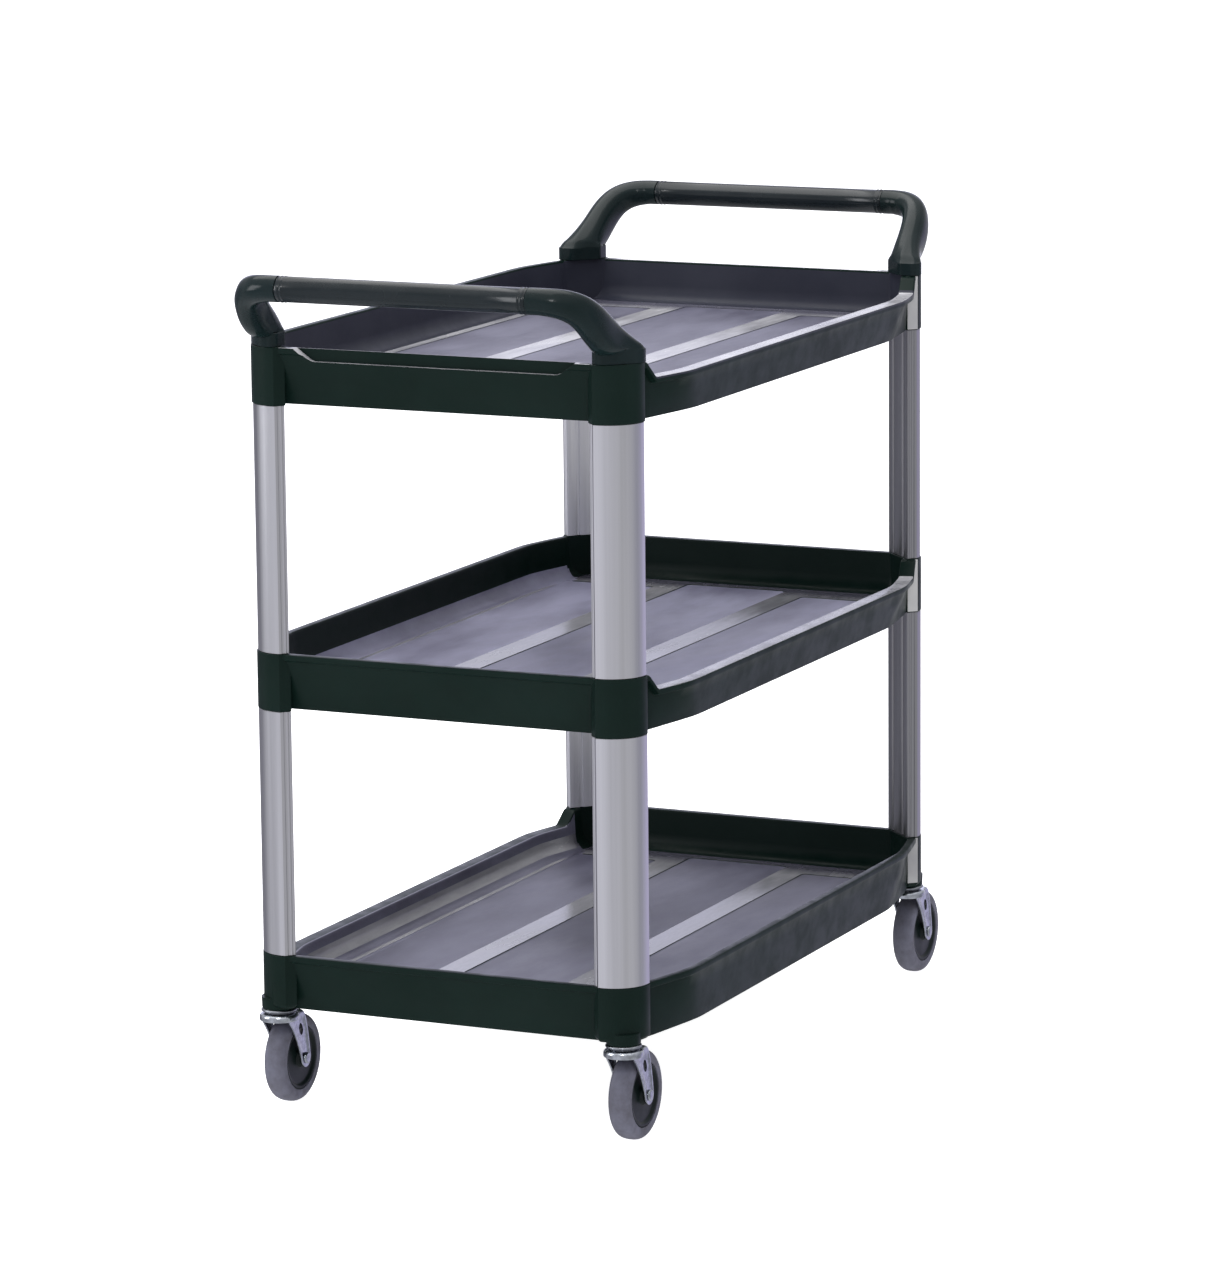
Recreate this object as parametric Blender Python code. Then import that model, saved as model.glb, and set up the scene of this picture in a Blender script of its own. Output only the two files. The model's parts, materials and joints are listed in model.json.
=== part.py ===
"""Three-shelf food service trolley. Metres, +Z up. Length along Y, width along X."""
import math

import bmesh
import bpy
from mathutils import Vector

MM = 0.001

# ---- overall sizes (mm) ----
HANDLE_TOP = 960.0
POST_X = 215.2
POST_Y = 420.6
POST_W = 60.3
POST_SAG = 14.2
POST_SIDE = 13.1
POST_WALL = 2.2
GAP = 0.3

# ---- shelves (mm) ----
SHELF_Z = {"top_shelf": 806.0, "middle_shelf": 461.0, "bottom_shelf": 115.5}
LOW_SIDE = {"top_shelf": 1.0, "middle_shelf": 1.0, "bottom_shelf": -1.0}
RIM_H = 65.0
LIP_H = 46.0
FLOOR_H = 15.0
FLOOR_T = 4.0
SKIRT_T = 4.0
END_FLANGE = 12.0
HIGH_FLANGE = 10.0
LOW_FLANGE = 19.0
PANEL_DROP = 0.8
STRIP_X = 82.0
SPIGOT = 24.0

# ---- handles (mm) ----
BAR_Y = 506.0
BAR_R = 14.0
CORE_R = 10.5
GRIP_HALF = 151.0

# ---- casters (mm) ----
CASTER_X = 214.0
CASTER_Y = 420.5
TRAIL = 30.0
WHEEL_R = 50.8
WHEEL_HALF = 13.0
RIM_R = 36.5
AXLE_R = 4.0
STEM_R = 5.2
BOSS_Z = 115.6
CROWN_TOP = 109.6
PLATE_T = 2.5
FORK_HALF = 17.8
CUP_R = 22.6
CUP_Z = 101.4

for stale in list(bpy.data.objects):
    bpy.data.objects.remove(stale, do_unlink=True)


def material(name, colour, metallic, roughness):
    mat = bpy.data.materials.new(name)
    mat.use_nodes = True
    shader = mat.node_tree.nodes["Principled BSDF"]
    shader.inputs["Base Color"].default_value = (*colour, 1.0)
    shader.inputs["Metallic"].default_value = metallic
    shader.inputs["Roughness"].default_value = roughness
    mat.diffuse_color = (*colour, 1.0)
    return mat


PLASTIC = ("black_plastic", (0.018, 0.022, 0.024), 0.0, 0.45)
ALU = ("satin_aluminium", (0.62, 0.62, 0.64), 1.0, 0.38)
ZINC = ("zinc_plate", (0.58, 0.58, 0.60), 1.0, 0.28)
RUBBER = ("grey_rubber", (0.19, 0.19, 0.22), 0.0, 0.70)
HUB = ("black_hub", (0.015, 0.015, 0.017), 0.0, 0.40)
GRIP = ("grip_plastic", (0.016, 0.019, 0.021), 0.0, 0.38)


def new_object(name, bm, look, origin=(0.0, 0.0, 0.0), cutter=False):
    bmesh.ops.recalc_face_normals(bm, faces=bm.faces)
    mesh = bpy.data.meshes.new(name)
    bm.to_mesh(mesh)
    bm.free()
    obj = bpy.data.objects.new(name, mesh)
    obj.location = Vector(origin) * MM
    bpy.context.scene.collection.objects.link(obj)
    if cutter:
        obj.hide_render = True
        obj.display_type = "WIRE"
    else:
        mesh.materials.append(material(name + "_" + look[0], look[1], look[2], look[3]))
    return obj


def add_loops(bm, loops, closed=False):
    """Joins equal-count rings of points into one closed body."""
    rings = []
    for loop in loops:
        rings.append([bm.verts.new(Vector(p) * MM) for p in loop])
    pairs = list(zip(rings[:-1], rings[1:]))
    if closed:
        pairs.append((rings[-1], rings[0]))
    for low, high in pairs:
        count = len(low)
        for i in range(count):
            j = (i + 1) % count
            bm.faces.new((low[i], low[j], high[j], high[i]))
    if not closed:
        bm.faces.new(list(reversed(rings[0])))
        bm.faces.new(rings[-1])


def boolean(obj, cutter, kind):
    mod = obj.modifiers.new(kind.lower() + "_" + cutter.name, "BOOLEAN")
    mod.operation = kind
    mod.solver = "EXACT"
    mod.object = cutter


def inset(points, amounts):
    """Moves every point of a counter-clockwise ring inward by its own amount."""
    out = []
    count = len(points)
    for i in range(count):
        a = Vector(points[i - 1][:2])
        b = Vector(points[i][:2])
        c = Vector(points[(i + 1) % count][:2])
        d1 = (b - a).normalized()
        d2 = (c - b).normalized()
        n1 = Vector((-d1.y, d1.x))
        n2 = Vector((-d2.y, d2.x))
        n = (n1 + n2).normalized()
        k = amounts[i] / max(0.6, n.dot(n1))
        out.append((b.x + n.x * k, b.y + n.y * k))
    return out


def post_outline(sx, sy, grow=0.0, grooves=False, deep=1.0):
    """D section at a corner: round face outward, flat face toward the middle."""
    q = math.sqrt(0.5)
    out = Vector((sx * q, sy * q))
    along = Vector((-out.y, out.x))
    base = Vector((sx * POST_X, sy * POST_Y))
    radius = (POST_W ** 2 / 4 + POST_SAG ** 2) / (2 * POST_SAG)
    half = math.asin(POST_W / 2 / radius)
    radius_g = radius + grow
    centre = base - out * (radius - POST_SAG)
    pts = []
    steps = 10
    for i in range(steps + 1):
        a = -half + 2 * half * i / steps
        pts.append(centre + along * radius_g * math.sin(a) + out * radius_g * math.cos(a))
    w = POST_W / 2 + grow
    s = POST_SIDE + grow
    if grooves:
        cut = 1.0 * deep
        slot = 1.6 * deep
        side = [(w, -3.5), (w - cut, -4.2), (w - cut, -6.9), (w, -7.6), (w, -s + 0.8), (w - 0.8, -s)]
        flat = [(17.0, -s), (16.4, -s + slot), (13.0, -s + slot), (12.4, -s)]
        local = side + flat
        local = local + [(-x, d) for x, d in reversed(local)]
    else:
        local = [(w, -s + 1.2), (w - 1.2, -s), (-w + 1.2, -s), (-w, -s + 1.2)]
    for x, d in local:
        pts.append(base + along * x + out * d)
    pts = [(p.x, p.y) for p in pts]
    area = sum(p[0] * r[1] - r[0] * p[1] for p, r in zip(pts, pts[1:] + pts[:1]))
    if area < 0:
        pts.reverse()
    return pts


def foot_outline(sx, sy):
    """Handle foot: the post section, deeper inward and cut back at the side nearer the tray end."""
    q = math.sqrt(0.5)
    out = Vector((sx * q, sy * q))
    along = Vector((-out.y, out.x))
    base = Vector((sx * (POST_X - 1.0), sy * (POST_Y - 1.0)))
    long_half = POST_W / 2 + 3.0
    end_half = POST_W / 2 - 1.0
    pts = []
    for half, side in ((long_half, -sx * sy), (end_half, sx * sy)):
        row = [(0.25, 13.8), (0.5, 12.4), (0.74, 9.6), (0.93, 5.6), (1.0, -2.0)]
        row = row + ([(0.98, -6.0), (0.66, -18.5)] if half > POST_W / 2 else [(0.97, -4.0), (0.5, -18.5)])
        pts.append([(half * f * side, d) for f, d in row])
    ring = [(0.0, 14.3)] + pts[0] + list(reversed(pts[1]))
    world = [base + along * x + out * d for x, d in ring]
    pts = [(p.x, p.y) for p in world]
    area = sum(p[0] * r[1] - r[0] * p[1] for p, r in zip(pts, pts[1:] + pts[:1]))
    return pts if area > 0 else list(reversed(pts))


def at_z(points, z):
    return [(p[0], p[1], z) for p in points]


def circle(cx, cy, r, z, n=18):
    return [(cx + r * math.cos(2 * math.pi * i / n), cy + r * math.sin(2 * math.pi * i / n), z) for i in range(n)]


# ---- shelf plan: one corner, from the end wall round to the side wall ----
RIM_CORNER = [(176.0, 439.0), (189.0, 439.0), (197.0, 438.6), (211.0, 435.6), (222.5, 427.6), (230.5, 416.0),
              (234.0, 402.0), (236.6, 393.0), (241.4, 375.0), (254.0, 322.0), (255.0, 300.0)]
FOOT_CORNER = [(176.0, 420.0), (186.0, 420.0), (195.0, 419.6), (203.0, 416.0), (210.5, 409.5), (217.5, 402.5),
               (222.5, 397.0), (226.0, 390.0), (229.7, 374.0), (244.0, 294.0), (245.0, 276.0)]
UNDER_CORNER = [(176.0, 436.5), (187.0, 436.5), (196.0, 435.5), (206.0, 431.0), (215.0, 422.0), (222.0, 410.5),
                (226.0, 400.0), (228.0, 391.0), (232.8, 373.2), (252.6, 320.0), (253.6, 298.0)]
LOW_FROM = 8


def ring_of(corner):
    """Counter-clockwise outline from one corner: +x -y, +x +y, -x +y, -x -y."""
    pts = [(x, -y) for x, y in corner]
    pts += [(x, y) for x, y in reversed(corner)]
    pts += [(-x, y) for x, y in corner]
    pts += [(-x, -y) for x, y in reversed(corner)]
    return pts


def shelf(name):
    base = SHELF_Z[name]
    low = LOW_SIDE[name]
    rim_xy = ring_of(RIM_CORNER)
    foot_xy = ring_of(FOOT_CORNER)
    under_xy = ring_of(UNDER_CORNER)
    n = len(RIM_CORNER)
    order = list(range(n)) + list(reversed(range(n)))
    order = order + order
    top_z = []
    flange = []
    for k, (x, y) in zip(order, rim_xy):
        is_low = x * low > 0
        top_z.append(base + (LIP_H if is_low and k >= LOW_FROM else RIM_H))
        side = LOW_FLANGE if is_low else HIGH_FLANGE
        share = min(1.0, max(0.0, (k - 1) / 7.0))
        flange.append(END_FLANGE + (side - END_FLANGE) * share)

    def level(src, amount, dz):
        xy = inset(src, amount)
        return [(p[0], p[1], z + dz) for p, z in zip(xy, top_z)]

    def frac(f, extra=0.0):
        return [f * w + extra for w in flange]

    zero = [0.0] * len(rim_xy)
    floor = base + FLOOR_H
    skirt_in = inset(foot_xy, [SKIRT_T] * len(foot_xy))
    under = inset(foot_xy, [SKIRT_T + 1.5] * len(foot_xy))
    loops = [
        at_z(under, floor - FLOOR_T),
        at_z(skirt_in, base),
        at_z(foot_xy, base),
        [(p[0], p[1], z - 8.0) for p, z in zip(under_xy, top_z)],
        level(rim_xy, zero, -5.5),
        level(rim_xy, zero, -2.0),
        level(rim_xy, [2.0] * len(rim_xy), 0.0),
        level(rim_xy, frac(1.0, -2.0), 0.0),
        level(rim_xy, frac(1.0), -2.0),
        at_z(inset(rim_xy, frac(1.0, 2.4)), floor + 20.0),
        at_z(inset(rim_xy, frac(1.0, 5.6)), floor + 10.0),
        at_z(inset(rim_xy, frac(1.0, 12.5)), floor + 3.0),
        at_z(inset(rim_xy, frac(1.0, 24.0)), floor),
    ]
    bm = bmesh.new()
    add_loops(bm, loops)
    obj = new_object(name, bm, PLASTIC)

    # corner bosses with the plugs that enter the hollow uprights
    bm = bmesh.new()
    for sx in (-1, 1):
        for sy in (-1, 1):
            boss = post_outline(sx, sy, 0.5)
            plug = post_outline(sx, sy, -6.6)
            tip = post_outline(sx, sy, -7.8)
            rows = []
            if name != "bottom_shelf":
                rows.append(at_z(tip, base - SPIGOT))
                rows.append(at_z(plug, base - SPIGOT + 2.0))
                rows.append(at_z(plug, base))
            if name == "bottom_shelf":
                rows.append(at_z(post_outline(sx, sy, -3.0), base + 4.0))
                rows.append(at_z(boss, base + 8.0))
            else:
                rows.append(at_z(boss, base))
            rows.append(at_z(boss, base + RIM_H - 1.0 + 1.3))
            if name != "top_shelf":
                rows.append(at_z(plug, base + RIM_H - 1.0 + 1.3))
                rows.append(at_z(plug, base + RIM_H + SPIGOT - 2.0))
                rows.append(at_z(tip, base + RIM_H + SPIGOT))
            add_loops(bm, rows)
    bosses = new_object("add_bosses_" + name, bm, None, cutter=True)
    boolean(obj, bosses, "UNION")

    # three sunk floor panels leave raised strips along the length
    bm = bmesh.new()
    high_x = 216.0 if low > 0 else 206.0
    low_x = 206.0 if low > 0 else 216.0
    panels = [(-high_x, -STRIP_X - 10.0), (-STRIP_X + 10.0, STRIP_X - 10.0), (STRIP_X + 10.0, low_x)]
    for x0, x1 in panels:
        ycut = 396.0 if abs(x0 + x1) < 40.0 else 366.0
        c = 6.0
        box = [(x0 + c, -ycut), (x1 - c, -ycut), (x1, -ycut + c), (x1, ycut - c),
               (x1 - c, ycut), (x0 + c, ycut), (x0, ycut - c), (x0, -ycut + c)]
        add_loops(bm, [at_z(box, floor - PANEL_DROP), at_z(box, floor + 1.0)])
    sunk = new_object("cut_panels_" + name, bm, None, cutter=True)
    boolean(obj, sunk, "DIFFERENCE")

    if name == "top_shelf":
        # hand recess with slanted ends on the outside of both end walls
        bm = bmesh.new()
        for sy in (-1, 1):
            top = base + RIM_H + 4.0
            shape = [(-152.0, base + 50.0), (152.0, base + 50.0), (179.0, top), (-179.0, top)]
            inner = [(x, sy * 432.0, z) for x, z in shape]
            outer = [(x, sy * 446.0, z) for x, z in shape]
            add_loops(bm, [inner, outer])
        recess = new_object("cut_recess_" + name, bm, None, cutter=True)
        boolean(obj, recess, "DIFFERENCE")

    if name == "bottom_shelf":
        bm = bmesh.new()
        for sx in (-1, 1):
            for sy in (-1, 1):
                cx = sx * CASTER_X
                cy = sy * CASTER_Y
                add_loops(bm, [circle(cx, cy, 18.8, BOSS_Z), circle(cx, cy, 19.4, BOSS_Z + 1.5),
                               circle(cx, cy, 19.8, base + FLOOR_H - 1.5)])
        lower = new_object("add_caster_bosses", bm, None, cutter=True)
        boolean(obj, lower, "UNION")
        bm = bmesh.new()
        for sx in (-1, 1):
            for sy in (-1, 1):
                cx = sx * CASTER_X
                cy = sy * CASTER_Y
                add_loops(bm, [circle(cx, cy, STEM_R + GAP, BOSS_Z - 5.0, 16),
                               circle(cx, cy, STEM_R + GAP, BOSS_Z + 42.0, 16)])
        bores = new_object("cut_stem_bores", bm, None, cutter=True)
        boolean(obj, bores, "DIFFERENCE")
    return obj


for shelf_name in SHELF_Z:
    shelf(shelf_name)


# ---- hollow uprights, two per corner ----
def upright(name, sx, sy, z0, z1, shrink):
    outer = post_outline(sx, sy, -shrink, True)
    inner = post_outline(sx, sy, -shrink - POST_WALL - 1.4, True, 0.0)
    bm = bmesh.new()
    rows = [at_z(outer, z0), at_z(outer, z1), at_z(inner, z1), at_z(inner, z0)]
    add_loops(bm, rows, closed=True)
    return new_object(name, bm, ALU)


CORNERS = {"near_left": (-1, -1), "near_right": (1, -1), "far_left": (-1, 1), "far_right": (1, 1)}
BOSS_TOP = RIM_H + 0.3
for corner_name, (csx, csy) in CORNERS.items():
    upright("upper_upright_" + corner_name, csx, csy,
            SHELF_Z["middle_shelf"] + BOSS_TOP + GAP, SHELF_Z["top_shelf"] - GAP, 0.8)
    upright("lower_upright_" + corner_name, csx, csy,
            SHELF_Z["bottom_shelf"] + BOSS_TOP + GAP, SHELF_Z["middle_shelf"] - GAP, 0.0)


# ---- loop handles ----
BAR_Z = HANDLE_TOP - BAR_R
FOOT_Z = SHELF_Z["top_shelf"] + BOSS_TOP + GAP
FOOT_X = 211.0
FOOT_Y = 418.0
# x, y, z, half width, half depth, share of the D shaped foot section
LEG = [(FOOT_X, FOOT_Y, FOOT_Z, 17.0, 17.0, 1.0), (FOOT_X, FOOT_Y, FOOT_Z + 14.5, 17.0, 17.0, 1.0),
       (211.0, 424.0, 888.5, 17.0, 19.5, 0.78), (210.6, 430.5, 893.0, 16.6, 21.0, 0.48),
       (210.0, 438.5, 898.6, 16.2, 21.6, 0.22), (209.2, 449.2, 906.0, 15.9, 21.8, 0.06),
       (207.6, 461.4, 916.0, 15.7, 21.2, 0.0), (204.4, 473.8, 926.4, 15.4, 19.8, 0.0),
       (199.0, 485.6, 935.2, 15.2, 18.0, 0.0), (190.2, 495.4, 941.2, 14.9, 16.4, 0.0),
       (178.0, 502.6, 944.6, 14.5, 15.0, 0.0), (163.0, BAR_Y, BAR_Z, BAR_R, BAR_R, 0.0),
       (GRIP_HALF + 0.8, BAR_Y, BAR_Z, BAR_R, BAR_R, 0.0), (GRIP_HALF, BAR_Y, BAR_Z, BAR_R, BAR_R, 0.0)]


def ray_to_outline(outline, cx, cy, dx, dy):
    """Distance from an inner point to a closed outline along one direction."""
    best = 0.0
    for (ax, ay), (bx, by) in zip(outline, outline[1:] + outline[:1]):
        ex = bx - ax
        ey = by - ay
        det = dx * ey - dy * ex
        if abs(det) < 1e-9:
            continue
        t = ((ax - cx) * ey - (ay - cy) * ex) / det
        u = ((ax - cx) * dy - (ay - cy) * dx) / det
        if t > 0.0 and -1e-6 <= u <= 1.000001:
            best = max(best, t)
    return best


def sweep(rows, sy, n=16):
    """Round-square section along a path; rows hold x, y, z, two radii and foot share."""
    lift = Vector((0.0, -sy * 0.618, 0.786))
    loops = []
    count = len(rows)
    for i in range(count):
        x, y, z, wide, deep, share = rows[i]
        c = Vector((x, sy * y, z))
        a = rows[max(0, i - 1)]
        b = rows[min(count - 1, i + 1)]
        t = Vector((b[0] - a[0], sy * (b[1] - a[1]), b[2] - a[2]))
        if share > 0.9:
            t = Vector((0.0, 0.0, b[2] - a[2]))
        if t.length < 0.001:
            t = Vector((-1.0, 0.0, 0.0))
        t.normalize()
        up = (lift - t * lift.dot(t)).normalized()
        side = t.cross(up)
        foot = foot_outline(1 if x > 0 else -1, sy) if share > 0.0 else None
        loop = []
        for k in range(n):
            ang = 2 * math.pi * k / n + math.pi / 16
            cs = math.cos(ang)
            sn = math.sin(ang)
            m = (abs(cs) ** 2.4 + abs(sn) ** 2.4) ** (-1 / 2.4)
            p = c + side * (wide * m * cs) + up * (deep * m * sn)
            if foot:
                cx = FOOT_X if x > 0 else -FOOT_X
                cy = sy * FOOT_Y
                ref = Vector((0.0, -sy, 0.0))
                turn = Vector((sy if t.z > 0 else -sy, 0.0, 0.0))
                flat = turn * cs + ref * sn
                reach = ray_to_outline(foot, cx, cy, flat.x, flat.y)
                d = Vector((cx + flat.x * reach, cy + flat.y * reach, min(z, FOOT_Z + 18.0)))
                p = d * share + p * (1.0 - share)
            loop.append(tuple(p))
        loops.append(loop)
    return loops


def handle(name, sy):
    half = list(LEG)
    core = [(GRIP_HALF, BAR_Y, BAR_Z, CORE_R, CORE_R, 0.0), (-GRIP_HALF, BAR_Y, BAR_Z, CORE_R, CORE_R, 0.0)]
    left = [(-row[0],) + row[1:] for row in reversed(half)]
    bm = bmesh.new()
    add_loops(bm, sweep(half + core + left, sy))
    obj = new_object(name, bm, PLASTIC)

    # grip sleeve round the bar, a tube open at both ends
    span = GRIP_HALF - GAP
    outer_r = BAR_R + 0.2
    inner_r = CORE_R + GAP
    rows = [(span, BAR_Y, BAR_Z, inner_r), (span, BAR_Y, BAR_Z, outer_r - 1.0), (span - 1.0, BAR_Y, BAR_Z, outer_r),
            (-span + 1.0, BAR_Y, BAR_Z, outer_r), (-span, BAR_Y, BAR_Z, outer_r - 1.0), (-span, BAR_Y, BAR_Z, inner_r)]
    lift_rows = []
    for x, y, z, r in rows:
        ring = sweep([(1.0, y, z, r, r, 0.0), (-1.0, y, z, r, r, 0.0)], sy)[0]
        lift_rows.append([(x, p[1], p[2]) for p in ring])
    bm = bmesh.new()
    add_loops(bm, lift_rows, closed=True)
    new_object("grip_sleeve_" + name.replace("handle_", ""), bm, GRIP)
    return obj


handle("handle_near", -1)
handle("handle_far", 1)


# ---- casters ----
def lathe(rows, n=40, axis="Z", closed=False):
    """rows hold radius, height; turned about the given axis through the origin."""
    loops = []
    for r, h in rows:
        loop = []
        for i in range(n):
            a = 2 * math.pi * i / n
            if axis == "Z":
                loop.append((r * math.cos(a), r * math.sin(a), h))
            else:
                loop.append((h, r * math.cos(a), r * math.sin(a)))
        loops.append(loop)
    bm = bmesh.new()
    add_loops(bm, loops, closed=closed)
    return bm


def fork_rows():
    """Inverted U: stations give x, z outside, x, z inside, y from, y to."""
    top = CROWN_TOP
    w = FORK_HALF
    t = PLATE_T
    leg = [(40.0, 25.6, 34.4), (43.2, 21.6, 38.4), (50.0, 19.4, 40.6), (66.0, 13.0, 38.6), (84.0, 3.0, 35.0),
           (99.0, -9.0, 30.5)]
    rows = []
    for z, y0, y1 in leg:
        rows.append((w, z, w - t, z, y0, y1))
    rows.append((w, top - 4.4, w - t, top - 5.0, -13.0, 26.5))
    rows.append((w - 1.3, top - 1.5, w - t - 0.6, top - t - 1.0, -14.0, 25.0))
    rows.append((w - 4.5, top - 0.4, w - t - 2.6, top - t - 0.4, -15.0, 24.0))
    rows.append((0.0, top - 0.4, 0.0, top - t - 0.4, -16.0, 23.6))
    mirrored = [(-a, b, -c, d, e, f) for a, b, c, d, e, f in reversed(rows[:-1])]
    return rows + mirrored


def caster(tag, sx, sy):
    cx = sx * CASTER_X
    cy = sy * CASTER_Y
    axis_z = WHEEL_R
    # stem with the fixed top cap of the swivel and its rivet
    low = CROWN_TOP - PLATE_T - 1.0
    cap = [(7.0, low - 3.4), (8.5, low - 2.4), (8.5, low - GAP), (5.0, low - GAP), (5.0, CROWN_TOP + 2.4),
           (18.5, CROWN_TOP + 2.4), (20.0, CROWN_TOP + 3.2), (18.5, BOSS_Z - GAP), (STEM_R, BOSS_Z - GAP),
           (STEM_R, BOSS_Z + 36.0), (STEM_R - 1.5, BOSS_Z + 38.0)]
    new_object("caster_stem_" + tag, lathe(cap, 18), ZINC, (cx, cy, 0.0))
    # ball ring between the cap and the fork crown
    ring = [(6.0, CROWN_TOP + GAP), (16.5, CROWN_TOP + GAP), (17.4, CROWN_TOP + 1.2), (16.5, CROWN_TOP + 2.1),
            (6.0, CROWN_TOP + 2.1)]
    new_object("ball_ring_" + tag, lathe(ring, 16, closed=True), ZINC, (cx, cy, 0.0))
    # fork
    bm = bmesh.new()
    loops = []
    for xo, zo, xi, zi, y0, y1 in fork_rows():
        loops.append([(xo, y0, zo), (xo, y1, zo), (xi, y1, zi), (xi, y0, zi)])
    add_loops(bm, loops)
    fork = new_object("caster_fork_" + tag, bm, ZINC, (cx, cy, 0.0))
    # domed crown over the legs, hollow underneath
    dome = [(15.0, CROWN_TOP - 3.6), (18.6, CROWN_TOP - 4.6), (20.2, CUP_Z + 0.6), (CUP_R - 1.8, CUP_Z),
            (CUP_R - 0.6, CUP_Z), (CUP_R, CUP_Z + 0.8), (CUP_R, CROWN_TOP - 3.4), (CUP_R - 1.4, CROWN_TOP - 1.0),
            (CUP_R - 3.6, CROWN_TOP), (4.0, CROWN_TOP), (4.0, CROWN_TOP - 3.0), (11.0, CROWN_TOP - 3.2)]
    crown = new_object("add_crown_" + tag, lathe(dome, 18, closed=True), None, (cx, cy, 0.0), cutter=True)
    boolean(fork, crown, "UNION")
    bm = bmesh.new()
    hole = AXLE_R + GAP
    holes = []
    for px in (-30.0, 30.0):
        row = []
        for i in range(14):
            a = 2 * math.pi * i / 14
            row.append((px, TRAIL + hole * math.cos(a), axis_z + hole * math.sin(a)))
        holes.append(row)
    add_loops(bm, holes)
    slot = []
    for px in (-30.0, 30.0):
        row = []
        for i in range(14):
            a = 2 * math.pi * i / 14
            row.append((px, 19.0 + 4.6 * math.cos(a) - 1.6 * math.sin(a), 87.0 + 7.2 * math.sin(a)))
        slot.append(row)
    add_loops(bm, slot)
    add_loops(bm, [circle(0.0, 0.0, 5.0 + GAP, CROWN_TOP - 8.0, 18), circle(0.0, 0.0, 5.0 + GAP, CROWN_TOP + 4.0, 18)])
    cut = new_object("cut_fork_" + tag, bm, None, (cx, cy, 0.0), cutter=True)
    boolean(fork, cut, "DIFFERENCE")
    # axle bolt and nut
    wheel_at = (cx, cy + TRAIL, axis_z)
    out = FORK_HALF + GAP
    bolt = [(AXLE_R, -out - 4.6), (AXLE_R, out), (6.4, out), (6.4, out + 0.8), (5.0, out + 1.9), (2.0, out + 2.3)]
    new_object("axle_bolt_" + tag, lathe(bolt, 12, "X"), ZINC, wheel_at)
    bm = bmesh.new()
    rows = []
    for x, scale in ((-out - 4.0, 0.88), (-out - 3.4, 1.0), (-out, 1.0)):
        row = []
        for i in range(6):
            a = 2 * math.pi * i / 6
            row.append((x, 6.8 * scale * math.cos(a), 6.8 * scale * math.sin(a)))
        rows.append(row)
    bore = []
    for x in (-out, -out - 4.0):
        row = []
        for i in range(6):
            a = 2 * math.pi * i / 6
            row.append((x, (AXLE_R + 0.5) / 0.866 * math.cos(a), (AXLE_R + 0.5) / 0.866 * math.sin(a)))
        bore.append(row)
    add_loops(bm, rows + bore, closed=True)
    new_object("axle_nut_" + tag, bm, ZINC, wheel_at)
    # hub and tyre
    h = WHEEL_HALF
    bore_r = AXLE_R + GAP
    hub = [(bore_r, -h - 1.6), (9.5, -h - 1.6), (11.5, -h + 2.6), (30.0, -h + 3.6), (33.5, -h + 1.0),
           (RIM_R, -h + 1.0), (RIM_R, h - 1.0), (33.5, h - 1.0), (30.0, h - 3.6), (11.5, h - 2.6),
           (9.5, h + 1.6), (bore_r, h + 1.6)]
    new_object("wheel_hub_" + tag, lathe(hub, 20, "X", True), HUB, wheel_at)
    r = WHEEL_R
    i = RIM_R + GAP
    tyre = [(i, -h + 0.4), (r - 7.0, -h), (r - 2.4, -h + 2.2), (r, -h + 7.5),
            (r, h - 7.5), (r - 2.4, h - 2.2), (r - 7.0, h), (i, h - 0.4)]
    new_object("tyre_" + tag, lathe(tyre, 26, "X", True), RUBBER, wheel_at)


for corner_name, (csx, csy) in CORNERS.items():
    caster(corner_name, csx, csy)
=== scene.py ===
"""Looks for the food service trolley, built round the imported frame."""

import json
import math

import bmesh
import bpy
from mathutils import Matrix, Vector

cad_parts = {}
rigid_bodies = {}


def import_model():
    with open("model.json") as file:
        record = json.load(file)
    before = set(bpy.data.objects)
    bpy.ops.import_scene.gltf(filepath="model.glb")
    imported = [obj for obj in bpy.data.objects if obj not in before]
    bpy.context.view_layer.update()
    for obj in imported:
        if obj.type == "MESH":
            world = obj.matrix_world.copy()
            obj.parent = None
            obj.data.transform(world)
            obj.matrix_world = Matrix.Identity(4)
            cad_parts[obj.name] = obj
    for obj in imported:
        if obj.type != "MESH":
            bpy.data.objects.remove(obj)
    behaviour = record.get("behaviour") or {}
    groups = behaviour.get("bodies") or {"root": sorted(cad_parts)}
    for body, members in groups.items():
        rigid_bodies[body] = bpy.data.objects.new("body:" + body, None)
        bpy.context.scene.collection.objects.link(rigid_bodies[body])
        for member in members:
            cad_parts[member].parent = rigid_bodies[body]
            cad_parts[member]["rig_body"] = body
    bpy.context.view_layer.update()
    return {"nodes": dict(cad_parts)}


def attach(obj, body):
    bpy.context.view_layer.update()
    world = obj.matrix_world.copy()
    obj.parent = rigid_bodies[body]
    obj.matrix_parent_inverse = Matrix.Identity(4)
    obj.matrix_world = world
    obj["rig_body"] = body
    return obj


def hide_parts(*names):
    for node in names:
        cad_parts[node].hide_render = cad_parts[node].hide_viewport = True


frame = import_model()

MM = 0.001
CORNERS = {"near_left": (-1, -1), "near_right": (1, -1), "far_left": (-1, 1), "far_right": (1, 1)}

# ---- sizes in millimetres ----
GAP = 0.3

# Trays: height of each underside, the side of X whose rim is low, and heights over the underside.
SHELF_Z = {"top_shelf": 806.0, "middle_shelf": 461.0, "bottom_shelf": 115.5}
LOW_SIDE = {"top_shelf": 1.0, "middle_shelf": 1.0, "bottom_shelf": -1.0}
RIM_H = 65.0
LIP_H = 46.0
FLOOR_H = 15.0
FLOOR_T = 4.0
SKIRT_T = 4.0
# Widths of the flat rim at the ends, along the raised side and along the low side.
END_FLANGE = 12.0
HIGH_FLANGE = 10.0
LOW_FLANGE = 19.0
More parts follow.
